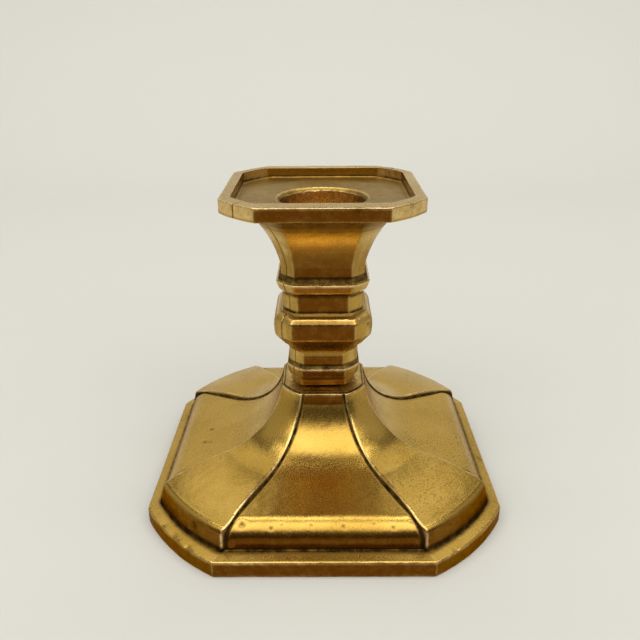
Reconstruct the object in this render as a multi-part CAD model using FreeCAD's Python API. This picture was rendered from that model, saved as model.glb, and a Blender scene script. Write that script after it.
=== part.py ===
import FreeCAD, Part
import math
import os
from FreeCAD import Vector

# Brass candlestick: a hollow cast base, a stem cast in two halves that are
# brazed together, and a threaded stud with washer and nut that draws the stem
# down on the base.  Millimetres, +Z up, origin under the axis on the plane
# that the candlestick stands on, -Y is the front.
#
# Every level section is a square whose corners are cut by a circle about the
# axis, so a section is given by its half width and its corner radius.

# ---- base casting ----
FLANGE_HALF_WIDTH = 48.0
FLANGE_CORNER_RADIUS = 55.3
FLANGE_HEIGHT = 4.8
FLANGE_EDGE = 0.5            # worn edge round the top of the flange
LEDGE_HEIGHT = 5.4           # the ledge rises a little towards the body
BODY_HALF_WIDTH = 45.15
BODY_CORNER_RADIUS = 51.75
PLATFORM_HEIGHT = 30.9
PLATFORM_HALF_WIDTH = 11.66
PLATFORM_CORNER_RADIUS = 13.35
SEAT_RISE = 0.35             # low pad on the platform, under the stem
SEAT_INSET = 0.65
TOP_PLATE = 3.5
STUD_HOLE_RADIUS = 3.3

# Side panels: outline of the face from the ledge up to the platform, as
# (half width, height).
PANEL_FOOT = (44.2, LEDGE_HEIGHT)
PANEL_WALL_TOP = (44.05, 7.0)
PANEL_SHOULDER = (42.3, 10.6)
PANEL_SHOULDER_TOP = (38.5, 12.35)
PANEL_SLOPE_TOP = (28.0, 13.75)
PANEL_SWEEP = (17.0, 19.6)
PANEL_TOP = (PLATFORM_HALF_WIDTH, PLATFORM_HEIGHT)
# Half width of a side panel: it widens evenly away from the axis.
PANEL_NARROW = 5.8
PANEL_SPREAD = 0.576

# Corner panels stand proud of the side panels: outline as (radius, height).
CORNER_FOOT = (BODY_CORNER_RADIUS, LEDGE_HEIGHT)
CORNER_WALL_TOP = (50.85, 9.5)
CORNER_CREASE = (50.35, 10.7)
CORNER_CREASE_TOP = (49.0, 11.5)
CORNER_SLOPE_MID = (40.5, 13.75)
CORNER_SLOPE_TOP = (31.2, 14.85)
CORNER_SWEEP = (19.6, 20.1)
CORNER_TOP = (PLATFORM_CORNER_RADIUS, PLATFORM_HEIGHT)

# Hollow underside, as (half width or radius, height).
HOLLOW_WIDTH = ((42.0, 0.0), (41.4, 6.5), (38.0, 9.8), (28.0, 11.05))
HOLLOW_WIDTH_SWEEP = (15.6, 17.35)
HOLLOW_WIDTH_TOP = 9.9
HOLLOW_RADIUS = ((48.5, 0.0), (47.9, 7.0), (45.6, 9.4), (30.9, 11.96))
HOLLOW_RADIUS_SWEEP = (17.2, 18.5)
HOLLOW_RADIUS_TOP = 11.76

# ---- stem ----
# Outline of the stem from the foot to the underside of the tray, as
# (kind, height, half width, corner radius).  "through" is a point that the
# next arc passes on its way.
FOOT_HEIGHT = 31.8
TRAY_UNDERSIDE = 83.4
STEM_OUTLINE = (
    ("line", FOOT_HEIGHT, 8.3, 10.2),
    ("through", 33.9, 8.75, 10.6),
    ("arc", 35.2, 9.8, 11.4),
    ("line", 37.75, 10.11, 11.7),
    ("line", 38.6, 9.57, 10.98),
    ("line", 41.8, 9.57, 10.98),
    ("through", 43.6, 9.8, 11.4),
    ("arc", 44.6, 10.6, 12.7),
    ("line", 47.8, 13.05, 15.5),
    ("through", 50.4, 13.35, 15.75),
    ("arc", 52.5, 13.2, 15.6),
    ("line", 53.8, 12.45, 14.75),
    ("line", 54.3, 11.5, 13.5),
    ("line", 55.0, 10.75, 12.65),
    ("line", 59.7, 10.75, 12.65),
    ("line", 60.8, 11.7, 13.75),
    ("line", 63.15, 12.5, 14.65),
    ("line", 63.6, 11.9, 14.1),
    ("line", 65.0, 11.12, 13.39),
    ("line", 67.5, 11.12, 13.39),
    ("through", 78.5, 15.8, 18.35),
    ("arc", TRAY_UNDERSIDE, 20.0, 22.8),
)

# Tray on top of the stem.
TRAY_TOP = 87.0
TRAY_HALF_WIDTH = 25.2
TRAY_CORNER_RADIUS = 29.7
TRAY_EDGE = 0.3
TRAY_FLOOR = 84.25
RECESS_HALF_WIDTH = 22.45
RECESS_HALF_DEPTH = 21.3
RECESS_CORNER_RADIUS = 26.7
RECESS_OFFSET = 0.9          # the front rim is the thick one

# Candle socket: a dished floor, an eased mouth, a straight bore, a taper.
DISH_RADIUS = 18.5
MOUTH_RADIUS = 12.1
MOUTH_HEIGHT = 83.6
BORE_RADIUS = 11.3
BORE_TOP = 82.8
BORE_BOTTOM = 75.8
SOCKET_FLOOR_RADIUS = 9.0
SOCKET_FLOOR = 65.0

# Core of the stem, closed when the two halves are brazed together.
CORE_RADIUS = 6.5
CORE_END_RADIUS = 5.2
CORE_BOTTOM = 41.0
CORE_TOP = 61.6
CORE_TAPER = 1.6

# ---- fastening under the base ----
SPIGOT_RADIUS = 6.8
STUD_RADIUS = 3.0
STUD_BOTTOM = 19.4
STUD_TOP = 40.2
STUD_CHAMFER = 0.5
WASHER_RADIUS = 7.0
WASHER_THICKNESS = 1.2
NUT_ACROSS_FLATS = 10.0
NUT_HEIGHT = 4.8

BIG = 80.0                   # more than any reach from the axis
SEAT_HEIGHT = PLATFORM_HEIGHT + SEAT_RISE
PLATE_UNDERSIDE = SEAT_HEIGHT - TOP_PLATE


def at(reach, height):
    """Point of an outline, drawn in the XZ plane."""
    return Vector(reach, 0, height)


def line(start, end):
    return Part.makeLine(at(*start), at(*end))


def arc(start, through, end):
    return Part.Arc(at(*start), at(*through), at(*end)).toShape()


def solid_of_revolution(edges):
    """Turn an outline about the axis; its ends are closed level to the axis."""
    first = edges[0].valueAt(edges[0].FirstParameter)
    last = edges[-1].valueAt(edges[-1].LastParameter)
    closing = [
        line((last.x, last.z), (0, last.z)),
        line((0, last.z), (0, first.z)),
        line((0, first.z), (first.x, first.z)),
    ]
    face = Part.Face(Part.Wire(edges + closing))
    return face.revolve(Vector(0, 0, 0), Vector(0, 0, 1), 360)


def solid_between_flats(edges):
    """Square bar whose four sides follow an outline."""
    first = edges[0].valueAt(edges[0].FirstParameter)
    last = edges[-1].valueAt(edges[-1].LastParameter)
    mirrored = [edge.mirror(Vector(0, 0, 0), Vector(1, 0, 0)) for edge in edges]
    closing = [
        line((last.x, last.z), (-last.x, last.z)),
        line((-first.x, first.z), (first.x, first.z)),
    ]
    loose = Part.sortEdges(edges + mirrored + closing)[0]
    face = Part.Face(Part.Wire(loose))
    face.translate(Vector(0, -BIG, 0))
    across = face.extrude(Vector(0, 2 * BIG, 0))
    along = across.copy()
    along.rotate(Vector(0, 0, 0), Vector(0, 0, 1), 90)
    return across.common(along)


def cut_corner_solid(width_edges, radius_edges):
    """Square section with round corners about the axis, at every height."""
    return solid_of_revolution(radius_edges).common(solid_between_flats(width_edges))


def straight_edges(points):
    return [line(start, end) for start, end in zip(points, points[1:])]


def cut_corner_plate(half_width, corner_radius, low, high):
    width = straight_edges([(half_width, low), (half_width, high)])
    radius = straight_edges([(corner_radius, low), (corner_radius, high)])
    return cut_corner_solid(width, radius)


def cylinder(radius, low, high):
    return Part.makeCylinder(radius, high - low, Vector(0, 0, low))


# ---------------------------------------------------------------- base casting

def flange():
    def edges(outer, ledge):
        return straight_edges([
            (outer, 0.0),
            (outer, FLANGE_HEIGHT - FLANGE_EDGE),
            (outer - FLANGE_EDGE, FLANGE_HEIGHT),
            (ledge, LEDGE_HEIGHT),
        ])
    return cut_corner_solid(
        edges(FLANGE_HALF_WIDTH, BODY_HALF_WIDTH),
        edges(FLANGE_CORNER_RADIUS, BODY_CORNER_RADIUS),
    )


def corner_body():
    """The four corner panels as one turned body, standing on the ledge."""
    edges = [
        line(CORNER_FOOT, CORNER_WALL_TOP),
        arc(CORNER_WALL_TOP, CORNER_CREASE, CORNER_CREASE_TOP),
        arc(CORNER_CREASE_TOP, CORNER_SLOPE_MID, CORNER_SLOPE_TOP),
        arc(CORNER_SLOPE_TOP, CORNER_SWEEP, CORNER_TOP),
    ]
    return solid_of_revolution(edges)


def side_panel_cutter():
    """Everything in front of the front panel, between its two grooves."""
    outline = [
        line(PANEL_FOOT, PANEL_WALL_TOP),
        arc(PANEL_WALL_TOP, PANEL_SHOULDER, PANEL_SHOULDER_TOP),
        line(PANEL_SHOULDER_TOP, PANEL_SLOPE_TOP),
        arc(PANEL_SLOPE_TOP, PANEL_SWEEP, PANEL_TOP),
        line(PANEL_TOP, (PLATFORM_HALF_WIDTH, PLATFORM_HEIGHT + 1)),
        line((PLATFORM_HALF_WIDTH, PLATFORM_HEIGHT + 1), (BIG, PLATFORM_HEIGHT + 1)),
        line((BIG, PLATFORM_HEIGHT + 1), (BIG, LEDGE_HEIGHT)),
        line((BIG, LEDGE_HEIGHT), PANEL_FOOT),
    ]
    face = Part.Face(Part.Wire(outline))
    face.translate(Vector(0, -BIG, 0))
    slab = face.extrude(Vector(0, 2 * BIG, 0))
    slab.rotate(Vector(0, 0, 0), Vector(0, 0, 1), -90)
    near = 8.0
    near_half = PANEL_NARROW + PANEL_SPREAD * (near - PLATFORM_HALF_WIDTH)
    far_half = PANEL_NARROW + PANEL_SPREAD * (BIG - PLATFORM_HALF_WIDTH)
    corners = [
        Vector(-near_half, -near, 0),
        Vector(near_half, -near, 0),
        Vector(far_half, -BIG, 0),
        Vector(-far_half, -BIG, 0),
    ]
    wedge = Part.Face(Part.makePolygon(corners + corners[:1]))
    return slab.common(wedge.extrude(Vector(0, 0, BIG)))


def base_hollow():
    def edges(points, sweep, top):
        end = (top, PLATE_UNDERSIDE)
        return straight_edges(points) + [arc(points[-1], sweep, end)]
    return cut_corner_solid(
        edges(HOLLOW_WIDTH, HOLLOW_WIDTH_SWEEP, HOLLOW_WIDTH_TOP),
        edges(HOLLOW_RADIUS, HOLLOW_RADIUS_SWEEP, HOLLOW_RADIUS_TOP),
    )


def base_casting():
    body = corner_body()
    for quarter in range(4):
        cutter = side_panel_cutter()
        cutter.rotate(Vector(0, 0, 0), Vector(0, 0, 1), 90 * quarter)
        body = body.cut(cutter)
    body = body.fuse(flange())
    seat = cut_corner_plate(
        PLATFORM_HALF_WIDTH - SEAT_INSET,
        PLATFORM_CORNER_RADIUS - SEAT_INSET,
        PLATFORM_HEIGHT - SEAT_RISE,
        SEAT_HEIGHT,
    )
    body = body.fuse(seat)
    body = body.cut(base_hollow())
    body = body.cut(cylinder(STUD_HOLE_RADIUS, PLATE_UNDERSIDE - 1, SEAT_HEIGHT + 1))
    return body.removeSplitter()


# ------------------------------------------------------------------------ stem

def stem_edges(column):
    """Outline of the stem; column 2 is the half width, 3 the corner radius."""
    edges = []
    start = (STEM_OUTLINE[0][column], STEM_OUTLINE[0][1])
    through = None
    for entry in STEM_OUTLINE[1:]:
        point = (entry[column], entry[1])
        if entry[0] == "through":
            through = point
            continue
        if entry[0] == "arc":
            edges.append(arc(start, through, point))
        else:
            edges.append(line(start, point))
        start = point
    return edges


def tray():
    def edges(outer):
        return straight_edges([
            (outer - TRAY_EDGE, TRAY_UNDERSIDE),
            (outer, TRAY_UNDERSIDE + TRAY_EDGE),
            (outer, TRAY_TOP - TRAY_EDGE),
            (outer - TRAY_EDGE, TRAY_TOP),
        ])
    return cut_corner_solid(edges(TRAY_HALF_WIDTH), edges(TRAY_CORNER_RADIUS))


def tray_recess():
    box = Part.makeBox(
        2 * RECESS_HALF_WIDTH,
        2 * RECESS_HALF_DEPTH,
        TRAY_TOP - TRAY_FLOOR + 1,
        Vector(-RECESS_HALF_WIDTH, RECESS_OFFSET - RECESS_HALF_DEPTH, TRAY_FLOOR),
    )
    round_corners = cylinder(RECESS_CORNER_RADIUS, TRAY_FLOOR, TRAY_TOP + 1)
    round_corners.translate(Vector(0, RECESS_OFFSET, 0))
    return box.common(round_corners)


def socket():
    """Dished floor, eased mouth, straight bore and taper, as one turned void."""
    return solid_of_revolution(straight_edges([
        (SOCKET_FLOOR_RADIUS, SOCKET_FLOOR),
        (BORE_RADIUS, BORE_BOTTOM),
        (BORE_RADIUS, BORE_TOP),
        (MOUTH_RADIUS, MOUTH_HEIGHT),
        (DISH_RADIUS, TRAY_FLOOR),
    ]))


def stem_core():
    return solid_of_revolution(straight_edges([
        (CORE_END_RADIUS, CORE_BOTTOM),
        (CORE_RADIUS, CORE_BOTTOM + CORE_TAPER),
        (CORE_RADIUS, CORE_TOP - CORE_TAPER),
        (CORE_END_RADIUS, CORE_TOP),
    ]))


def whole_stem():
    stem = cut_corner_solid(stem_edges(2), stem_edges(3))
    stem = stem.fuse(tray())
    stem = stem.fuse(cylinder(SPIGOT_RADIUS, SEAT_HEIGHT, FOOT_HEIGHT + 1))
    stem = stem.cut(tray_recess())
    stem = stem.cut(socket())
    stem = stem.cut(stem_core())
    stem = stem.cut(cylinder(STUD_RADIUS, SEAT_HEIGHT - 1, CORE_BOTTOM + 1))
    return stem.removeSplitter()


def stem_half(stem, turn):
    """Half of the stem on one side of the upright plane through two corners."""
    side = Part.makeBox(2 * BIG, BIG, 2 * BIG, Vector(-BIG, -BIG, 0))
    side.rotate(Vector(0, 0, 0), Vector(0, 0, 1), turn)
    return stem.common(side)


# ------------------------------------------------------------------- fastening

def tie_stud():
    edges = straight_edges([
        (STUD_RADIUS - STUD_CHAMFER, STUD_BOTTOM),
        (STUD_RADIUS, STUD_BOTTOM + STUD_CHAMFER),
        (STUD_RADIUS, STUD_TOP - STUD_CHAMFER),
        (STUD_RADIUS - STUD_CHAMFER, STUD_TOP),
    ])
    return solid_of_revolution(edges)


def clamp_washer():
    low = PLATE_UNDERSIDE - WASHER_THICKNESS
    disc = cylinder(WASHER_RADIUS, low, PLATE_UNDERSIDE)
    return disc.cut(cylinder(STUD_HOLE_RADIUS, low - 1, PLATE_UNDERSIDE + 1))


def clamp_nut():
    high = PLATE_UNDERSIDE - WASHER_THICKNESS
    low = high - NUT_HEIGHT
    corner = NUT_ACROSS_FLATS / 2 / math.cos(math.radians(30))
    corners = []
    for step in range(6):
        angle = math.radians(60 * step)
        corners.append(Vector(corner * math.cos(angle), corner * math.sin(angle), low))
    hexagon = Part.Face(Part.makePolygon(corners + corners[:1]))
    nut = hexagon.extrude(Vector(0, 0, NUT_HEIGHT))
    return nut.cut(cylinder(STUD_RADIUS, low - 1, high + 1))


def single_solid(name, shape):
    if len(shape.Solids) != 1:
        raise ValueError(name + " is not one solid")
    return shape.Solids[0]


def main():
    stem = whole_stem()
    parts = {
        "base_casting": base_casting(),
        "stem_half_front_right": stem_half(stem, 45),
        "stem_half_rear_left": stem_half(stem, 225),
        "tie_stud": tie_stud(),
        "clamp_washer": clamp_washer(),
        "clamp_nut": clamp_nut(),
    }
    os.makedirs("parts", exist_ok=True)
    for name, shape in parts.items():
        solid = single_solid(name, shape)
        solid.exportStep("parts/" + name + ".step")
        print(name, "valid", solid.isValid(), "volume", round(solid.Volume))


main()
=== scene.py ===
import math

import bmesh
import bpy
import numpy as np
from mathutils import Matrix, Vector


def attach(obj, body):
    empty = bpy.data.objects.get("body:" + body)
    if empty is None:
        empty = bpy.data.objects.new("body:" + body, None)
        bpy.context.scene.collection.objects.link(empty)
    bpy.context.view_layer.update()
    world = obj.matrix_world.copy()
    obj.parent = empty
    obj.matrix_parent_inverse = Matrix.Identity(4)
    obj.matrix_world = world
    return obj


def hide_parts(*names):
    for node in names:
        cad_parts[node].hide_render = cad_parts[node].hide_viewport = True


# Looks of the brass candlestick.  The castings are rebuilt as fine meshes with
# worn edges, grooves, a joint line and casting flaws.  Meshes are worked out in
# millimetres and scaled to metres when they are made.

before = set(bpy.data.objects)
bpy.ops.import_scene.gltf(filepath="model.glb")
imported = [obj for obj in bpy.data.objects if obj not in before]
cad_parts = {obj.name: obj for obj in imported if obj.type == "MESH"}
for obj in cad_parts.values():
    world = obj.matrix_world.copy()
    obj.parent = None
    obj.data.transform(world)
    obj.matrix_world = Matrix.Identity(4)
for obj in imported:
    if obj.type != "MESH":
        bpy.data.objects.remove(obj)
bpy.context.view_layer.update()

MM = 0.001
SIDES = 4
RNG_SEED = 41


# ------------------------------------------------------------------ outlines
# A knot of an outline: height, half width in x, half width in y, corner radius,
# offset in y, then how far the corner is rounded, its wear, and its dirt and painted shade.

def knot(height, width, radius, ease=0.0, wear=0.0, grime=0.0, depth=None, shift=0.0):
    depth = width if depth is None else depth
    point = np.array([height, width, depth, radius, shift], float)
    return {"point": point, "ease": ease, "wear": wear, "grime": grime, "bend": None}


def bend_knot(height, through_height, through, end, **extra):
    """Knot reached on an arc; through and end are (half width, corner radius)."""
    made = knot(height, end[0], end[1], **extra)
    made["bend"] = (through_height, through)
    return made


def circle_through(a, b, c):
    """Centre and radius of the circle through three points of a plane."""
    rows = np.array([[b[0] - a[0], b[1] - a[1]], [c[0] - b[0], c[1] - b[1]]]) * 2
    sums = np.array([b @ b - a @ a, c @ c - b @ b])
    centre = np.linalg.solve(rows, sums)
    return centre, np.linalg.norm(a - centre)


def arc_points(a, b, c, count):
    """Points along the arc from a through b to c."""
    a, b, c = (np.array(p, float) for p in (a, b, c))
    centre, radius = circle_through(a, b, c)
    first = math.atan2(*(a - centre)[::-1])
    last = math.atan2(*(c - centre)[::-1])
    turn = (last - first + math.pi) % (2 * math.pi) - math.pi
    angles = first + turn * np.linspace(0, 1, count)
    ring = np.stack([np.cos(angles), np.sin(angles)], 1)
    return centre + radius * ring


def segment_rows(start, goal, step):
    """Fine rows from one knot to the next, both ends included."""
    a, b = start["point"], goal["point"]
    count = max(2, int(math.ceil(np.abs(b - a).max() / step)) + 1)
    rows = a + (b - a) * np.linspace(0, 1, count)[:, None]
    if goal["bend"] is None:
        return rows
    through_height, through = goal["bend"]
    for column, middle in ((1, through[0]), (2, through[0]), (3, through[1])):
        curve = arc_points(
            (a[column], a[0]), (middle, through_height), (b[column], b[0]), 4 * count)
        order = np.argsort(curve[:, 1])
        rows[:, column] = np.interp(rows[:, 0], curve[order, 1], curve[order, 0])
    return rows


def row_distances(rows):
    steps = np.diff(rows[:, :4], axis=0)
    lengths = np.sqrt(steps[:, 0] ** 2 + np.maximum(steps[:, 1] ** 2, steps[:, 3] ** 2))
    return np.concatenate([[0.0], np.cumsum(lengths)])


def outline(knots, step):
    """Fine rows along the knots, with eased corners, and their wear and their dirt and
    painted shade.
    """
    pieces = [segment_rows(a, b, step) for a, b in zip(knots, knots[1:])]
    kept = []
    for index, rows in enumerate(pieces):
        at = row_distances(rows)
        low = min(knots[index]["ease"], 0.45 * at[-1])
        high = at[-1] - min(knots[index + 1]["ease"], 0.45 * at[-1])
        inside = (at > low + 0.02) & (at < high - 0.02)
        places = np.concatenate([[low], at[inside], [high]])
        kept.append(np.stack([np.interp(places, at, rows[:, i]) for i in range(5)], 1))
    rows = [kept[0]]
    for index in range(1, len(kept)):
        ease = knots[index]["ease"]
        if ease > 0:
            a, corner, b = kept[index - 1][-1], knots[index]["point"], kept[index][0]
            t = np.linspace(0, 1, 6)[1:-1, None]
            rows.append((1 - t) ** 2 * a + 2 * t * (1 - t) * corner + t ** 2 * b)
            rows.append(kept[index])
        else:
            rows.append(kept[index][1:])
    rows = np.concatenate(rows)
    at = row_distances(rows)
    wear = np.zeros(len(rows))
    grime = np.zeros(len(rows))
    for one in knots:
        gap = np.abs(rows[:, :4] - one["point"][:4]).max(1)
        place = at[int(np.argmin(gap))]
        spread = 0.13 + 0.5 * one["ease"]
        wear = np.maximum(wear, one["wear"] * np.exp(-((at - place) / spread) ** 2))
        grime = np.maximum(grime, one["grime"] * np.exp(-((at - place) / 0.42) ** 2))
    return rows, wear, grime


# --------------------------------------------------------------------- rings
# A ring runs once round the axis.  Each of its eighths goes from the middle of
# a flat side to the middle of a corner, with close stations about the edge.

EDGE_STATIONS = np.array([-0.8, -0.42, -0.2, -0.06, 0.06, 0.2, 0.42, 0.8])
EDGE_REACH = 0.8             # the stations reach this far from the edge
EDGE_EASE = 0.5
SEAM_STATIONS = np.array([0.75, 0.34, 0.17, 0.07, 0.0])


def eighth(width, radius, flat_count, arc_count, softness=1.0):
    """(along, out) of the stations of one eighth of a cut-corner square."""
    half_flat = math.sqrt(max(radius ** 2 - width ** 2, 1e-9))
    turn = math.atan2(half_flat, width)
    arc_length = radius * (math.pi / 4 - turn)
    room = 0.45 * min(half_flat, arc_length)
    scale = min(softness, room / EDGE_REACH)
    marks = EDGE_STATIONS * scale
    ease = EDGE_EASE * scale
    sag = math.tan(turn / 2) * np.clip(ease - np.abs(marks), 0, None) ** 2 / (2 * ease)
    flat = np.linspace(0, half_flat + marks[0], flat_count)
    along = list(flat) + list(half_flat + marks[1:4])
    out = [width] * flat_count + list(width - sag[1:4])
    seam = SEAM_STATIONS * scale
    start, end = marks[-1], arc_length - seam[0]
    places = np.concatenate([marks[4:], np.linspace(start, end, arc_count + 1)[1:],
                             arc_length - seam[1:]])
    inward = np.concatenate([sag[4:], np.zeros(len(places) - 4)])
    angles = turn + places / radius
    along += list((radius - inward) * np.sin(angles))
    out += list((radius - inward) * np.cos(angles))
    return np.stack([along, out], 1)


def ring_from_eighths(eighths, shift):
    """Whole ring from the eighths on the y sides (0) and on the x sides (1)."""
    points = []
    for side in range(SIDES):
        angle = math.radians(90 * side - 90)
        outward = np.array([math.cos(angle), math.sin(angle)])
        sideways = np.array([-outward[1], outward[0]])
        part = eighths[side % 2]
        mirrored = part[:0:-1] * np.array([-1, 1])
        both = np.concatenate([mirrored, part])[:-1]
        points.append(both[:, :1] * sideways + both[:, 1:] * outward)
    ring = np.concatenate(points)
    ring[:, 1] += shift
    return ring


def grid_from_rows(rows, flat_count, arc_count, round_rows, softness=1.0):
    """One ring of points for each row of an outline."""
    reference = eighth(12.0, 14.2, flat_count, arc_count)
    directions = reference / np.linalg.norm(reference, axis=1)[:, None]
    rings = []
    for row, is_round in zip(rows, round_rows):
        height, width, depth, radius, shift = row
        if is_round:
            part = directions * max(width, 1e-4)
            plan = ring_from_eighths([part, part], shift)
        else:
            plan = ring_from_eighths([
                eighth(depth, radius, flat_count, arc_count, softness),
                eighth(width, radius, flat_count, arc_count, softness)], shift)
        rings.append(np.column_stack([plan, np.full(len(plan), height)]))
    return np.array(rings)


def mirrored_round(part):
    """Values of one eighth, mirrored and repeated for every column of a ring."""
    return np.concatenate([np.concatenate([part[:0:-1], part])[:-1]] * SIDES)


def edge_shares(flat_count, columns):
    """How near each column is to an upright edge, from 0 to 1."""
    middle = flat_count + 3.5
    stations = np.arange(columns // 8 + 1)
    return mirrored_round(np.exp(-((stations - middle) / 1.1) ** 2))


# --------------------------------------------------------------------- noise

def waves(points, length, seed, count=14):
    """Smooth random field, about -1 to 1, whose waves are about one length long."""
    rng = np.random.default_rng(RNG_SEED + seed)
    total = np.zeros(len(points))
    for _ in range(count):
        direction = rng.normal(size=3)
        direction /= np.linalg.norm(direction)
        size = length * rng.uniform(0.7, 1.5)
        phase = rng.uniform(0, 2 * math.pi)
        total += np.cos(points @ direction * (2 * math.pi / size) + phase)
    return total / math.sqrt(count) / 1.4


# Casting flaws and knocks, in mm: place, reach, depth (below 0 is a blob), and
# how much dirt has settled there.
BASE_FLAWS = (
    ((-20.5, -41.5, 11.2), 0.8, 0.4, 0.9),
    ((-13.2, -42.4, 10.5), 0.45, 0.2, 0.9),
    ((-10.6, -41.6, 11.1), 0.35, 0.15, 0.7),
    ((-3.2, -41.7, 11.0), 0.4, 0.16, 0.8),
    ((4.8, -42.0, 10.8), 0.55, 0.2, 0.8),
    ((12.4, -41.4, 11.3), 0.35, 0.15, 0.7),
    ((17.2, -42.2, 10.6), 0.45, 0.18, 0.8),
    ((21.8, -41.2, 11.4), 0.35, 0.14, 0.6),
    ((-23.2, -44.3, 6.0), 0.8, -0.35, 0.0),
    ((-33.4, -38.6, 8.0), 1.1, 0.42, 0.7),
    ((-34.7, -37.4, 7.1), 0.5, -0.25, 0.0),
    ((-35.0, -8.0, 12.9), 0.8, 0.16, 0.8),
    ((-33.4, -8.4, 13.1), 0.5, 0.12, 0.7),
    ((-34.0, -1.5, 13.1), 0.8, 0.14, 0.7),
    ((41.0, -40.0, 12.0), 0.8, 0.2, 0.3),
    ((-39.0, -38.9, 4.5), 1.5, 0.3, 0.0),
    ((-37.7, -40.6, 4.8), 0.7, 0.2, 0.0),
    ((-34.6, -43.0, 4.7), 1.1, 0.26, 0.0),
    ((-33.4, -44.2, 4.8), 0.5, 0.2, 0.0),
    ((-42.6, -35.0, 4.7), 0.8, 0.2, 0.0),
    ((33.0, -43.8, 4.7), 0.9, 0.22, 0.0),
    ((47.2, -6.0, 4.8), 0.6, 0.45, 0.8),
    ((28.5, -39.5, 12.4), 0.5, 0.15, 0.3),
)
STEM_FLAWS = (
    ((13.2, -9.2, 50.6), 1.1, 0.3, 0.3),
    ((12.4, -10.2, 51.6), 0.8, 0.22, 0.9),
    ((1.8, -12.4, 73.2), 0.7, 0.14, 0.5),
    ((-2.5, -13.2, 51.0), 0.5, 0.12, 0.4),
    ((5.0, -12.5, 62.4), 0.6, 0.12, 0.0),
    ((-18.0, -24.9, 86.7), 0.7, 0.2, 0.0),
    ((-12.5, -25.1, 86.8), 0.4, 0.14, 0.0),
    ((8.0, -25.1, 86.8), 0.6, 0.15, 0.0),
    ((21.0, -21.0, 86.7), 0.9, 0.25, 0.4),
    ((-6.0, -25.2, 83.7), 0.6, 0.15, 0.0),
)


def settled_dirt(points, flaws):
    """Dirt that has settled in the flaws."""
    dirt = np.zeros(len(points))
    for place, reach, _, amount in flaws:
        far = np.linalg.norm(points - np.array(place), axis=1)
        dirt = np.maximum(dirt, amount * np.exp(-(far / (0.75 * reach)) ** 2))
    return dirt


SHADE_FULL_SLANT = 0.40           # upright faces get painted brown shade, up to this much upward slant
SHADE_NONE_SLANT = 0.62
CORNER_SHADE_RELIEF = 0.85            # the corner faces get less painted shade
BASE_WALL_SHADE_RELIEF = 0.15         # but the base's low walls get little of that relief
BASE_SHADE_NONE_SLANT = 0.80
UPPER_BASE = (14.0, 28.0)    # heights of the swept-up part of the base
UPPER_BASE_SHADE = 0.3      # which gets less painted shade
BASE_WALL_TOP = 12.5


def painted_shade_share(normals, shade_relief, none=SHADE_NONE_SLANT):
    """Painted brown shade on the upright faces, standing in for a dark reflection, and less
    of it on overhanging ones.
    """
    up = normals[:, 2]
    upright = np.clip((none - up) / (none - SHADE_FULL_SLANT), 0, 1)
    upright -= 0.5 * np.clip((-0.15 - up) / 0.4, 0, 1)
    level = np.maximum((normals[:, :2] ** 2).sum(1), 1e-6)
    diagonal = np.clip(2 * np.abs(normals[:, 0] * normals[:, 1]) / level, 0, 1)
    return upright * (1 - CORNER_SHADE_RELIEF * shade_relief * diagonal ** 2)


def roughen(points, normals, wear, flaws):
    """Uneven casting, ragged worn edges and single flaws."""
    shift = 0.035 * waves(points, 11.0, 1) + 0.014 * waves(points, 4.2, 2)
    shift += 0.006 * waves(points, 1.5, 3)
    ragged = np.clip(waves(points, 1.9, 4) + 0.5 * waves(points, 0.9, 5), 0, None)
    shift -= wear * 0.09 * ragged
    for place, reach, depth, _ in flaws:
        far = np.linalg.norm(points - np.array(place), axis=1)
        shift -= depth * np.exp(-(far / reach) ** 2)
    return points + normals * shift[:, None]


# -------------------------------------------------------------------- meshes

def faces_of_grid(row_count, column_count, closed_columns, closed_rows):
    faces = []
    columns = column_count if closed_columns else column_count - 1
    row_end = row_count if closed_rows else row_count - 1
    for row in range(row_end):
        below = row * column_count
        above = ((row + 1) % row_count) * column_count
        for column in range(columns):
            after = (column + 1) % column_count
            faces.append((below + column, below + after, above + after, above + column))
    return faces


def mesh_object(name, points, faces, shares):
    mesh = bpy.data.meshes.new(name)
    mesh.from_pydata([tuple(p) for p in points * MM], [], faces)
    for attribute, values in shares.items():
        layer = mesh.attributes.new(attribute, "FLOAT", "POINT")
        layer.data.foreach_set("value", np.asarray(values, np.float32))
    made = bpy.data.objects.new(name, mesh)
    bpy.context.scene.collection.objects.link(made)
    return made


def finish_mesh(made, merge=0.002 * MM):
    """Join doubled points, make the outside the outside, and shade smoothly."""
    work = bmesh.new()
    work.from_mesh(made.data)
    bmesh.ops.remove_doubles(work, verts=work.verts, dist=merge)
    bmesh.ops.recalc_face_normals(work, faces=work.faces)
    work.to_mesh(made.data)
    work.free()
    made.data.polygons.foreach_set("use_smooth", [True] * len(made.data.polygons))
    made.data.update()


def grid_normals(grid):
    """Outward normals of a closed-column grid of points."""
    along = np.roll(grid, -1, 1) - np.roll(grid, 1, 1)
    up = np.gradient(grid, axis=0)
    normals = np.cross(along, up)
    lengths = np.linalg.norm(normals, axis=2, keepdims=True)
    return normals / np.maximum(lengths, 1e-9)


# ---------------------------------------------------------------------- stem

STEM_FLATS = 20
STEM_SOFTNESS = 1.45         # the stem's upright edges are rounder than the base's
STEM_ARCS = 14
TRAY_FLOOR = 84.25
RECESS = {"depth": 21.3, "shift": 0.9}
TRAY_DIRT = 0.34
SEAT = 31.25
PLATE_UNDERSIDE = 27.75
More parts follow.
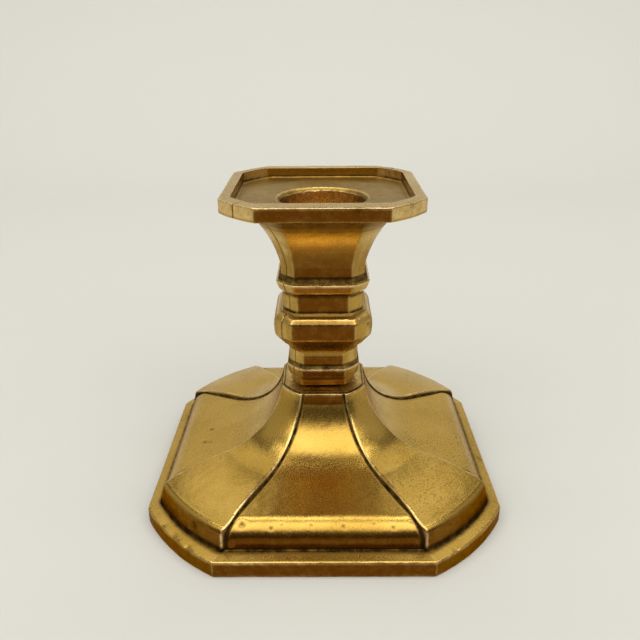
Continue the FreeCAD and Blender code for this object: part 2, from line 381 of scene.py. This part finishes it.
# Dirt and painted shade lie in the slopes above the ring, above the collar and below the
# tray:
# from this height, up to this height, and how much.
STEM_SLOPE_DIRT_AND_SHADE = (
    (31.8, 35.0, 0.3), (38.0, 39.2, 0.85), (63.6, 65.3, 0.85),
    (65.3, 72.0, 0.12), (78.4, 79.6, 0.3), (79.6, 82.8, 0.55),
)
SOCKET_WEAR = 0.85
# levels of painted brown shade: little in the socket, and less on the neck's corner faces,
# the tray's inner wall and under the knop
SOCKET_SHADE = 0.08
CORNER_FACE_WEAR = 0.62      # corner faces of the tray
STREAK_WEAR = 0.35           # bright streaks on the other corner faces
NECK_SHADE_RELIEF = 0.75
INNER_WALL_SHADE = 0.25
UNDER_KNOP = (41.6, 44.4)
UNDER_KNOP_SHADE = 0.55
NECK_HIGHLIGHT_SHADE_CUT = 0.95
NECK_HIGHLIGHT_BRIGHTNESS = 0.2
NECK_HIGHLIGHT = (76.1, 1.8)     # height and reach of the painted highlight band round the neck, a painted reflection of the base's bright front
SEAM_HALF_WIDTH = 0.17
SEAM_DEPTH = 0.2
FOOT_TILT = 0.016


def stem_outline():
    """From the top of the inner core, out and up round the stem, to the socket."""
    inside = [
        knot(61.6, 0.0, 0.0), knot(61.6, 5.2, 5.2), knot(60.0, 6.5, 6.5),
        knot(42.6, 6.5, 6.5), knot(41.0, 5.2, 5.2), knot(41.0, 3.0, 3.0),
        knot(SEAT, 3.0, 3.0), knot(SEAT, 6.8, 6.8, 0.15, grime=0.8),
        knot(31.75, 6.8, 6.8, grime=1.0),
    ]
    outside = [
        knot(31.8, 8.3, 10.2, 0.2, wear=0.5, grime=0.5),
        bend_knot(35.2, 33.9, (8.75, 10.6), (9.8, 11.4), ease=0.2, wear=0.4, grime=0.3),
        knot(37.75, 10.11, 11.7, 0.35, wear=1.0),
        knot(38.6, 9.57, 10.98, 0.15),
        knot(41.8, 9.57, 10.98, 0.35, grime=0.1),
        bend_knot(44.6, 43.6, (9.8, 11.4), (10.6, 12.7), ease=0.2, wear=1.0),
        knot(47.8, 13.05, 15.5, 0.3, wear=0.7),
        bend_knot(52.5, 50.4, (13.35, 15.75), (13.2, 15.6), ease=0.3, wear=0.25),
        knot(53.8, 12.45, 14.75, 0.25, wear=0.6),
        knot(54.3, 11.5, 13.5, 0.12, grime=0.5),
        knot(55.0, 10.75, 12.65, 0.15, grime=1.0),
        knot(59.7, 10.75, 12.65, 0.2, grime=0.8),
        knot(60.8, 11.7, 13.75, 0.2, wear=0.9),
        knot(63.15, 12.5, 14.65, 0.3, wear=1.0),
        knot(63.6, 11.9, 14.1, 0.12),
        knot(65.0, 11.12, 13.39, 0.5),
        knot(67.5, 11.12, 13.39),
        bend_knot(83.4, 78.5, (15.8, 18.35), (20.0, 22.8), ease=0.2, grime=0.6),
        knot(83.4, 25.2, 29.7, 0.4, wear=0.15),
        knot(87.0, 25.2, 29.7, 0.32, wear=1.0),
        knot(87.0, 22.45, 26.7, 0.16, wear=0.25, **RECESS),
        knot(TRAY_FLOOR + 0.2, 22.4, 26.65, 0.15, grime=1.0, **RECESS),
        knot(TRAY_FLOOR + 0.2, 22.3, 25.85, 0.1, depth=21.2, shift=0.9),
        knot(TRAY_FLOOR, 22.2, 25.6, depth=21.1, shift=0.9, grime=0.5),
    ]
    socket = [
        knot(TRAY_FLOOR, 18.5, 18.5, grime=TRAY_DIRT),
        knot(83.6, 12.1, 12.1, 0.15, wear=0.5),
        knot(83.05, 11.5, 11.5, 0.2, grime=0.5), knot(82.6, 11.3, 11.3, 0.2),
        knot(75.8, 11.3, 11.3, 0.3),
        knot(65.0, 9.0, 9.0, 0.6, grime=0.8), knot(65.0, 0.0, 0.0),
    ]
    return inside, outside, socket


def stem_grid():
    """Rings of the whole stem, and the wear, the dirt and painted shade, and the roundness of
    each ring.
    """
    inside, outside, socket = stem_outline()
    grids, wears, grimes, rounds = [], [], [], []
    for knots, is_round in ((inside, True), (outside, False), (socket, True)):
        rows, wear, grime = outline(knots, 0.45)
        grid = grid_from_rows(
            rows, STEM_FLATS, STEM_ARCS, [is_round] * len(rows), STEM_SOFTNESS)
        if knots is socket:
            share = np.linspace(0, 1, 9)[1:-1, None, None]
            floor_rings = grids[-1][-1] * (1 - share) + grid[0] * share
            grid = np.concatenate([floor_rings, grid])
            wear = np.concatenate([np.zeros(len(floor_rings)), wear])
            grime = np.concatenate([np.full(len(floor_rings), TRAY_DIRT), grime])
        grids.append(grid)
        wears.append(wear)
        grimes.append(grime)
        rounds.append(np.full(len(grid), is_round))
    return tuple(np.concatenate(one) for one in (grids, wears, grimes, rounds))


def seam_cap(row_count, column_count):
    """Outline of the joint face: up one side of the half, and down the other."""
    up = [row * column_count for row in range(row_count)]
    down = [row * column_count + column_count - 1 for row in range(row_count)]
    return up + down[::-1]


def stem_halves():
    grid, row_wear, row_grime, is_round = stem_grid()
    row_count, column_count, _ = grid.shape
    eighth_count = column_count // 8
    edges = edge_shares(STEM_FLATS, column_count)
    cornered = (~is_round)[:, None]
    height = grid[:, :, 2]
    reach = np.linalg.norm(grid[:, :, :2], axis=2)
    diagonal = (grid[:, :, 0] - grid[:, :, 1]) / math.sqrt(2)
    normals = grid_normals(grid)
    outer = cornered & ((height < 86.0) | (reach > 28.0))
    near = np.exp(-(diagonal / SEAM_HALF_WIDTH) ** 2) * outer
    flat = grid.reshape(-1, 3)
    facing = normals.reshape(-1, 3)
    patchy = np.clip(0.9 + 0.4 * waves(flat, 13.0, 9), 0.3, 1.2).reshape(near.shape)
    uneven = 0.75 + 0.25 * np.clip(waves(flat, 3.0, 8), -1, 1).reshape(near.shape)
    wear = np.maximum(row_wear[:, None] * patchy, 0.3 * edges[None, :] * cornered)
    tray_wall = cornered & (height > 83.9) & (height < 86.6) & (reach > 24.9)
    corner_face = np.abs(normals[:, :, 0] * normals[:, :, 1]) > 0.35
    wear = np.where(tray_wall & corner_face, np.maximum(wear, CORNER_FACE_WEAR), wear)
    streaks = np.clip(waves(flat * (1, 1, 0.35), 3.2, 10), 0, 1).reshape(near.shape)
    streaks = STREAK_WEAR * streaks
    wear = np.where(outer & corner_face & ~tray_wall, np.maximum(wear, streaks), wear)
    wear = np.clip(wear, 0, 1) * (1 - near)
    grime = np.maximum(row_grime[:, None] * (1 - 0.3 * edges[None, :]), near * uneven)
    # dirt and painted shade in the slopes above the ring, above the collar and below the tray
    for low, high, amount in STEM_SLOPE_DIRT_AND_SHADE:
        in_slope = (height > low) & (height < high) & cornered & (reach < 24)
        grime = np.where(in_slope, np.maximum(grime, amount), grime)
    on_dish = is_round[:, None] & (height > 83.5) & (reach > 12.3)
    grime = np.where(on_dish, np.maximum(grime, TRAY_DIRT), grime)
    in_bore = is_round[:, None] & (height > 66.0) & (reach > 8.0) & (reach < 11.45)
    wear = np.where(in_bore, SOCKET_WEAR, wear)
    grime = np.maximum(grime, settled_dirt(flat, STEM_FLAWS).reshape(near.shape))
    on_neck = (flat[:, 2] > 65.0) & (flat[:, 2] < 83.3)
    # painted brown shade on the upright faces, lessened on the neck's corner faces, the
    # tray's inner wall and under the knop, and little in the socket
    painted_shade = painted_shade_share(facing, np.where(on_neck, NECK_SHADE_RELIEF, 1.0)).reshape(near.shape)
    inner_wall = (height > TRAY_FLOOR) & (reach.max(1) < 27.9)[:, None]
    painted_shade = np.where(inner_wall, INNER_WALL_SHADE * painted_shade, painted_shade)
    under_knop = (height > UNDER_KNOP[0]) & (height < UNDER_KNOP[1])
    painted_shade = np.where(under_knop & cornered, UNDER_KNOP_SHADE * painted_shade, painted_shade)
    # painted highlight band round the neck: painted shade taken off and painted light added
    neck_highlight = np.exp(-((height - NECK_HIGHLIGHT[0]) / NECK_HIGHLIGHT[1]) ** 2) * cornered
    painted_shade = painted_shade * (1 - NECK_HIGHLIGHT_SHADE_CUT * neck_highlight)
    wear = np.maximum(wear, NECK_HIGHLIGHT_BRIGHTNESS * neck_highlight * (1 - near))
    in_socket = is_round[:, None] & (height > 64.0)
    painted_shade = np.where(in_socket, SOCKET_SHADE, painted_shade)
    points = roughen(flat, facing, wear.reshape(-1), STEM_FLAWS)
    points -= facing * (near * uneven * SEAM_DEPTH).reshape(-1)[:, None]
    foot = (cornered & (height < 33.0)).reshape(-1)
    points[:, 2] += np.where(foot, FOOT_TILT * points[:, 0], 0.0)
    points = points.reshape(grid.shape)
    on_seam = (0, 4 * eighth_count)
    for column in on_seam:
        middle = (points[:, column, 0] + points[:, column, 1]) / 2
        points[:, column, 0] = middle
        points[:, column, 1] = middle
    halves = []
    spans = {
        "stem_half_front_right": np.arange(0, 4 * eighth_count + 1),
        "stem_half_rear_left": np.arange(4 * eighth_count, 8 * eighth_count + 1),
    }
    for name, columns in spans.items():
        columns = columns % column_count
        part = points[:, columns]
        shares = {"wear": wear[:, columns].reshape(-1),
                  "grime": grime[:, columns].reshape(-1),
                  "painted_shade": painted_shade[:, columns].reshape(-1)}
        faces = faces_of_grid(row_count, len(columns), False, False)
        faces.append(seam_cap(row_count, len(columns)))
        piece = mesh_object(name + "_skin", part.reshape(-1, 3), faces, shares)
        finish_mesh(piece)
        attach(piece, "root")
        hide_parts(name)
        halves.append(piece)
    return halves


# ---------------------------------------------------------------------- base

BASE_FLATS = 54
BASE_ARCS = 34
PANEL_NARROW = 5.8
PANEL_SPREAD = 0.576
PLATFORM = (11.66, 30.9)
PLATFORM_RADIUS = 13.35
# painted light on the seat and its rim, lifting the shaded floor under the stem's foot
SEAT_PAINTED_LIGHT = 0.45


def joined(parts):
    """One line of points from several that meet end to end."""
    return np.concatenate([parts[0]] + [part[1:] for part in parts[1:]])


def straight(a, b, count):
    return np.linspace(a, b, count)


def panel_outlines():
    """Matching stretches of the side panels' and the corner panels' outlines."""
    side = [
        arc_points(PLATFORM, (17.0, 19.6), (28.0, 13.75), 80),
        straight((28.0, 13.75), (38.5, 12.35), 20),
        arc_points((38.5, 12.35), (42.3, 10.6), (44.05, 7.0), 40),
        straight((44.05, 7.0), (44.2, 5.3), 10),
    ]
    slope = arc_points((31.2, 14.85), (40.5, 13.75), (49.0, 11.5), 60)
    split = int(np.argmin(np.abs(slope[:, 0] - 45.4)))
    corner = [
        arc_points((PLATFORM_RADIUS, PLATFORM[1]), (19.6, 20.1), (31.2, 14.85), 80),
        slope[:split + 1],
        joined([slope[split:], arc_points((49.0, 11.5), (50.35, 10.7), (50.85, 9.5), 20)]),
        straight((50.85, 9.5), (51.75, 5.3), 10),
    ]
    return side, corner


def spaced(points, count):
    """The same line with evenly spaced points."""
    steps = np.linalg.norm(np.diff(points, axis=0), axis=1)
    at = np.concatenate([[0.0], np.cumsum(steps)])
    places = np.linspace(0, at[-1], count)
    return np.stack([np.interp(places, at, points[:, i]) for i in range(2)], 1)


def body_eighth(side, corner):
    """(along, out, height) of one eighth of the body: panel, groove, corner."""
    width, low = side
    radius, high = corner
    groove = PANEL_NARROW + PANEL_SPREAD * (width - PLATFORM[0])
    flat = np.linspace(0, groove - 0.8, BASE_FLATS)
    # plan place where the groove's line reaches the corner panel's radius
    start = PANEL_NARROW - PANEL_SPREAD * PLATFORM[0]
    a = 1 + PANEL_SPREAD ** 2
    b = PANEL_SPREAD * start
    out = (-b + math.sqrt(b * b - a * (start ** 2 - radius ** 2))) / a
    along = start + PANEL_SPREAD * out
    turn = math.atan2(along, out)
    rise = math.hypot(along - groove, out - width, high - low)
    foot = np.array([groove, width, low])
    lean = 0.3 * rise / radius

    def on_corner(distance, sunk):
        angle = turn + lean + distance / radius
        reach = radius - sunk * 0.7
        return np.array([reach * math.sin(angle), reach * math.cos(angle), high - sunk * 0.5])

    ease = min(0.45, 0.8 * rise)
    top = on_corner(0.0, 0.35 * ease)
    stations = [np.array([x, width, low]) for x in flat]
    stations += [
        foot + [-0.42, -0.06, -0.05],
        foot + [-0.18, -0.20, -0.16],
        foot + [0.04, -0.24, -0.18],
        foot + (top - foot) * 0.45,
        foot + (top - foot) * 0.85,
        on_corner(0.10 + 0.3 * ease, 0.12 * ease),
        on_corner(0.10 + 0.8 * ease, 0.02 * ease),
    ]
    begin = turn + lean + (0.25 + ease) / radius
    seam = SEAM_STATIONS / radius
    angles = np.concatenate([
        np.linspace(begin, math.pi / 4 - seam[0], BASE_ARCS), math.pi / 4 - seam[1:]])
    sweep = np.stack([radius * np.sin(angles), radius * np.cos(angles),
                      np.full(len(angles), high)], 1)
    return np.concatenate([np.array(stations), sweep])


def body_rings():
    """Rings of the body, from the platform's edge down to the ledge."""
    side, corner = panel_outlines()
    counts = (70, 26, 30, 6)
    rings = []
    for index, count in enumerate(counts):
        a = spaced(side[index], count)
        b = spaced(corner[index], count)
        first = 0 if index == 0 else 1
        for low, high in zip(a[first:], b[first:]):
            part = body_eighth(low, high)
            plan = ring_from_eighths([part[:, :2], part[:, :2]], 0.0)
            rings.append(np.column_stack([plan, mirrored_round(part[:, 2])]))
    return np.array(rings)


def base_casting():
    seat = [
        knot(SEAT, 3.3, 3.3), knot(SEAT, 7.2, 7.2, grime=1.0),
        knot(SEAT, 8.4, 8.4), knot(SEAT, 10.2, 10.2),
    ]
    rim = [
        knot(SEAT, 10.8, 12.5), knot(SEAT, 11.01, 12.7, 0.1),
        knot(30.9, 11.03, 12.72, 0.05, grime=1.0),
        knot(30.9, 11.52, 13.22, 0.1, wear=1.0),
    ]
    foot = [
        knot(5.3, 44.6, 51.95, 0.0, grime=1.0),
        knot(5.28, 45.3, 52.2, 0.0, grime=0.6),
        knot(4.83, 47.75, 55.05, 0.12),
        knot(4.6, 48.0, 55.3, 0.12, wear=0.6),
        knot(0.25, 48.0, 55.3, 0.2, wear=0.3),
        knot(0.0, 47.7, 55.0, 0.1),
        knot(0.0, 42.0, 48.5, 0.3),
        knot(6.5, 41.4, 47.9, 0.8),
        knot(9.8, 38.0, 45.6, 0.8),
        knot(11.05, 28.0, 30.9, 0.5),
        bend_knot(PLATE_UNDERSIDE, 17.35, (15.6, 17.4), (9.9, 11.76), ease=0.5),
    ]
    plate = [
        knot(PLATE_UNDERSIDE, 7.2, 7.2), knot(PLATE_UNDERSIDE, 3.3, 3.3),
        knot(SEAT, 3.3, 3.3),
    ]
    grids, wears, grimes = [], [], []
    for knots, is_round in ((seat, True), (rim, False), (None, False), (foot, False),
                            (plate, True)):
        if knots is None:
            grid = body_rings()
            share = np.zeros(len(grid))
            grids.append(grid)
            wears.append(np.where(np.arange(len(grid)) < 2, 0.6, share))
            # the body's last rows get dirt and painted shade where the body meets the ledge
            grimes.append(np.where(np.arange(len(grid)) > len(grid) - 3, 1.0, share))
            continue
        rows, wear, grime = outline(knots, 0.9)
        # the seat and its rim get painted light over their wear, to lift the shaded floor
        # under the stem's foot
        if knots is seat or knots is rim:
            wear = np.maximum(wear, SEAT_PAINTED_LIGHT)
        grids.append(grid_from_rows(rows, BASE_FLATS, BASE_ARCS, [is_round] * len(rows)))
        wears.append(wear)
        grimes.append(grime)
    body_start = len(grids[0]) + len(grids[1])
    body_end = body_start + len(grids[2])
    grid = np.concatenate(grids)
    row_wear = np.concatenate(wears)
    row_grime = np.concatenate(grimes)
    row_count, column_count, _ = grid.shape
    number = np.arange(row_count)
    in_body = (number >= body_start) & (number < body_end)
    edges = edge_shares(BASE_FLATS, column_count)
    part = np.zeros(column_count // 8 + 1)
    part[BASE_FLATS + 4:BASE_FLATS + 7] = (0.55, 1.0, 0.45)
    lip = mirrored_round(part)
    part[:] = 0
    # dirt and painted shade along the groove between the panels
    part[BASE_FLATS - 1:BASE_FLATS + 5] = (0.15, 0.7, 1.0, 1.0, 0.85, 0.25)
    ditch = mirrored_round(part)
    flat = grid.reshape(-1, 3)
    facing = -grid_normals(grid).reshape(-1, 3)
    shape = (row_count, column_count)
    patchy = np.clip(0.85 + 0.45 * waves(flat, 15.0, 9), 0.2, 1.2).reshape(shape)
    wear = np.maximum(row_wear[:, None], np.where(
        in_body[:, None], lip[None, :], 0.35 * edges[None, :])) * patchy
    grime = np.maximum(row_grime[:, None], np.where(in_body[:, None], ditch[None, :], 0.0))
    wear = np.clip(wear, 0, 1) * (1 - np.clip(grime, 0, 1) * 0.8)
    grime = np.maximum(grime, settled_dirt(flat, BASE_FLAWS).reshape(shape))
    points = roughen(flat, facing, wear.reshape(-1), BASE_FLAWS)
    points[:, 2] = np.where(flat[:, 2] < 0.3, flat[:, 2], points[:, 2])
    faces = faces_of_grid(row_count, column_count, True, False)
    # painted brown shade on the base's upright faces, with less of it on the corner faces
    # above the low walls and on the swept-up part
    shade_relief = np.where(flat[:, 2] > BASE_WALL_TOP, 1.0, BASE_WALL_SHADE_RELIEF)
    painted_shade = painted_shade_share(facing, shade_relief, BASE_SHADE_NONE_SLANT)
    swept_up = (flat[:, 2] > UPPER_BASE[0]) & (flat[:, 2] < UPPER_BASE[1])
    painted_shade = np.where(swept_up, UPPER_BASE_SHADE * painted_shade, painted_shade)
    shares = {"wear": wear.reshape(-1), "grime": grime.reshape(-1),
              "painted_shade": painted_shade}
    piece = mesh_object("base_casting_skin", points, faces, shares)
    finish_mesh(piece)
    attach(piece, "root")
    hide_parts("base_casting")
    return piece


# ----------------------------------------------------------------- materials

class Nodes:
    """Short way to add and join shader nodes."""

    def __init__(self, name):
        self.material = bpy.data.materials.new(name)
        self.material.use_nodes = True
        self.tree = self.material.node_tree
        self.shader = self.tree.nodes["Principled BSDF"]

    def add(self, kind, inputs=None, **settings):
        made = self.tree.nodes.new(kind)
        for key, value in settings.items():
            setattr(made, key, value)
        for key, value in (inputs or {}).items():
            self.set(made.inputs[key], value)
        return made

    def set(self, socket, value):
        if isinstance(value, bpy.types.NodeSocket):
            self.tree.links.new(value, socket)
        else:
            socket.default_value = value

    def noise(self, where, scale, detail=4.0, roughness=0.6):
        return self.add("ShaderNodeTexNoise", {
            "Vector": where, "Scale": scale, "Detail": detail,
            "Roughness": roughness}).outputs["Fac"]

    def ramp(self, value, low, high, to_low=0.0, to_high=1.0):
        return self.add("ShaderNodeMapRange", {
            "Value": value, "From Min": low, "From Max": high,
            "To Min": to_low, "To Max": to_high}).outputs["Result"]

    def math(self, operation, first, second=0.0, clamp=False):
        made = self.add("ShaderNodeMath", operation=operation, use_clamp=clamp)
        self.set(made.inputs[0], first)
        self.set(made.inputs[1], second)
        return made.outputs[0]

    def mix(self, share, first, second):
        made = self.add("ShaderNodeMix", data_type="RGBA")
        self.set(made.inputs["Factor"], share)
        for socket, value in ((made.inputs[6], first), (made.inputs[7], second)):
            self.set(socket, value)
        return made.outputs[2]

    def share(self, name):
        return self.add("ShaderNodeAttribute", attribute_name=name).outputs["Fac"]


def colour(red, green, blue):
    return (red, green, blue, 1.0)


CLEAN_BRASS = colour(0.60, 0.385, 0.085)
TANNED_BRASS = colour(0.51, 0.315, 0.055)
# brown for the grain specks and for the painted shade of upright faces
BROWN_SPECK_AND_SHADE = colour(0.150, 0.050, 0.004)
# dark colour for pores, dirt and painted crevice shade
DIRT_AND_SHADE_BROWN = colour(0.030, 0.017, 0.005)
# rubbed brass colour, for worn edges and for painted light
RUBBED_AND_LIT_BRASS = colour(0.92, 0.69, 0.33)
PALE_EDGE = colour(1.0, 1.0, 1.0)
BROWN_SHADE_EDGE = colour(0.62, 0.40, 0.20)


def aged_brass():
    """Satin cast brass: tanned, with painted brown shade on upright faces, worn along its
    edges with some painted light, and dirty with painted shade in its crevices.
    """
    n = Nodes("aged_brass_cast")
    place = n.add("ShaderNodeTexCoord").outputs["Object"]
    clouds = n.noise(place, 70.0, 5.0, 0.6)
    spots = n.noise(place, 420.0, 4.0, 0.7)
    grain = n.noise(place, 2100.0, 3.0, 0.7)
    body = n.mix(n.ramp(clouds, 0.36, 0.66), CLEAN_BRASS, TANNED_BRASS)
    body = n.mix(n.ramp(grain, 0.55, 0.8, 0.0, 0.2), body, BROWN_SPECK_AND_SHADE)
    patches = n.ramp(n.noise(place, 38.0, 2.0, 0.5), 0.52, 0.64)
    pores = n.math("MULTIPLY", patches, n.ramp(grain, 0.53, 0.62, 0.0, 0.45), True)
    body = n.mix(pores, body, DIRT_AND_SHADE_BROWN)
    # painted brown shade on the upright faces
    painted_shade = n.math("MULTIPLY", n.share("painted_shade"), n.ramp(spots, 0.3, 0.62, 1.08, 0.92), True)
    body = n.mix(painted_shade, body, BROWN_SPECK_AND_SHADE)
    # worn edges, with painted light on the seat and round the neck
    wear = n.math("MULTIPLY", n.share("wear"), n.ramp(spots, 0.36, 0.6, 0.4, 1.0), True)
    body = n.mix(wear, body, RUBBED_AND_LIT_BRASS)
    # dirt, with painted shade in grooves and crevices
    grime = n.math("MULTIPLY", n.share("grime"), n.ramp(spots, 0.25, 0.6, 1.3, 0.75), True)
    body = n.mix(grime, body, DIRT_AND_SHADE_BROWN)
    n.set(n.shader.inputs["Base Color"], body)
    n.set(n.shader.inputs["Metallic"], 1.0)
    # the metal's edge tint turns brown with the painted shade
    n.set(n.shader.inputs["Specular Tint"], n.mix(painted_shade, PALE_EDGE, BROWN_SHADE_EDGE))
    rough = n.ramp(clouds, 0.3, 0.7, 0.22, 0.30)
    rough = n.math("ADD", rough, n.ramp(grain, 0.4, 0.8, -0.03, 0.09))
    rough = n.math("ADD", rough, n.math("MULTIPLY", grime, 0.35))
    n.set(n.shader.inputs["Roughness"], rough)
    fine = n.add("ShaderNodeBump", {"Height": grain, "Strength": 0.3,
                                    "Distance": 0.00006}).outputs["Normal"]
    coarse = n.add("ShaderNodeBump", {"Height": spots, "Strength": 0.16,
                                      "Distance": 0.00012, "Normal": fine}).outputs["Normal"]
    n.set(n.shader.inputs["Normal"], coarse)
    return n.material


def dark_steel():
    """Dull, slightly rusted steel of the hidden stud, washer and nut."""
    n = Nodes("dark_steel")
    place = n.add("ShaderNodeTexCoord").outputs["Object"]
    blotches = n.noise(place, 350.0, 5.0, 0.65)
    grain = n.noise(place, 2200.0, 3.0, 0.6)
    rust = n.ramp(blotches, 0.52, 0.68)
    body = n.mix(rust, colour(0.24, 0.23, 0.22), colour(0.12, 0.055, 0.025))
    n.set(n.shader.inputs["Base Color"], body)
    n.set(n.shader.inputs["Metallic"], n.ramp(rust, 0.0, 1.0, 1.0, 0.35))
    n.set(n.shader.inputs["Roughness"], n.ramp(blotches, 0.3, 0.7, 0.38, 0.75))
    bump = n.add("ShaderNodeBump", {"Height": grain, "Strength": 0.3,
                                    "Distance": 0.00005}).outputs["Normal"]
    n.set(n.shader.inputs["Normal"], bump)
    return n.material


def plain(name, shade, roughness):
    n = Nodes(name)
    n.set(n.shader.inputs["Base Color"], shade)
    n.set(n.shader.inputs["Roughness"], roughness)
    return n.material


def dress(piece, material):
    piece.data.materials.clear()
    piece.data.materials.append(material)


# --------------------------------------------------------- floor, light, view

def floor():
    """Pale floor that rises behind into a pale backdrop."""
    reach, back, sweep_radius, height = 1.6, 0.62, 0.25, 0.56
    line = [(-reach, 0.0), (back - sweep_radius, 0.0)]
    for step in range(1, 17):
        angle = math.pi / 2 * step / 16
        line.append((back - sweep_radius + sweep_radius * math.sin(angle),
                     sweep_radius - sweep_radius * math.cos(angle)))
    line.append((back, height))
    points = []
    for y, z in line:
        points += [(-reach, y, z), (reach, y, z)]
    faces = [(2 * i, 2 * i + 1, 2 * i + 3, 2 * i + 2) for i in range(len(line) - 1)]
    mesh = bpy.data.meshes.new("floor")
    mesh.from_pydata(points, [], faces)
    mesh.polygons.foreach_set("use_smooth", [True] * len(mesh.polygons))
    made = bpy.data.objects.new("floor", mesh)
    bpy.context.scene.collection.objects.link(made)
    dress(made, plain("pale_floor", colour(0.66, 0.66, 0.61), 0.75))


def area_light(name, place, target, size, power, tint=(1.0, 1.0, 1.0)):
    data = bpy.data.lights.new(name, "AREA")
    data.shape = "RECTANGLE"
    data.size, data.size_y = size
    data.energy = power
    data.color = tint
    made = bpy.data.objects.new(name, data)
    made.location = place
    aim = Vector(target) - Vector(place)
    made.rotation_euler = aim.to_track_quat("-Z", "Y").to_euler()
    bpy.context.scene.collection.objects.link(made)


def lights():
    centre = (0.0, 0.0, 0.04)
    distance = 1.1
    for name, azimuth, elevation, size, power, tint in (
            ("window", -90, 54, (2.4, 0.84), 14.6, (1.0, 0.98, 0.95)),
            ("rear_left", 124, 52, (0.55, 0.5), 0.85, (1.0, 0.99, 0.96)),
            ("rear_right", 56, 52, (0.55, 0.5), 0.85, (1.0, 0.99, 0.96)),
            ("left", 180, 22, (0.9, 0.9), 1.0, (1.0, 0.98, 0.94)),
            ("right", 0, 22, (0.9, 0.9), 1.0, (1.0, 0.98, 0.94))):
        turn, rise = math.radians(azimuth), math.radians(elevation)
        place = (distance * math.cos(rise) * math.cos(turn),
                 distance * math.cos(rise) * math.sin(turn),
                 centre[2] + distance * math.sin(rise))
        area_light(name, place, centre, size, power, tint)
    area_light("backdrop_wash", (0.0, 0.05, 1.1), (0.0, 0.62, 0.25), (1.6, 0.3), 5.5)
    world = bpy.data.worlds.new("room")
    world.use_nodes = True
    shade = world.node_tree.nodes["Background"]
    shade.inputs["Color"].default_value = colour(1.0, 0.86, 0.68)
    shade.inputs["Strength"].default_value = 0.09
    bpy.context.scene.world = world


CAMERA_PITCH = 23.715
CAMERA_TURN = 0.341
CAMERA_ROLL = -0.396
CAMERA_PLACE = (-0.0009, -0.17188, 0.12384)
FOCAL_SHARE = 1.03363


def camera():
    data = bpy.data.cameras.new("view")
    data.sensor_width = 36.0
    data.lens = 36.0 * FOCAL_SHARE
    data.clip_start = 0.005
    made = bpy.data.objects.new("view", data)
    turn = Matrix.Rotation(math.radians(CAMERA_TURN), 4, "Z")
    tilt = Matrix.Rotation(math.radians(90 - CAMERA_PITCH), 4, "X")
    roll = Matrix.Rotation(math.radians(CAMERA_ROLL), 4, "Z")
    made.matrix_world = turn @ Matrix.Translation(CAMERA_PLACE) @ tilt @ roll
    bpy.context.scene.collection.objects.link(made)
    bpy.context.scene.camera = made


def main():
    brass = aged_brass()
    steel = dark_steel()
    for piece in [base_casting()] + stem_halves():
        dress(piece, brass)
    for name in ("tie_stud", "clamp_washer", "clamp_nut"):
        dress(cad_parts[name], steel)
    floor()
    lights()
    camera()
    bpy.context.scene.view_settings.view_transform = "Standard"


main()
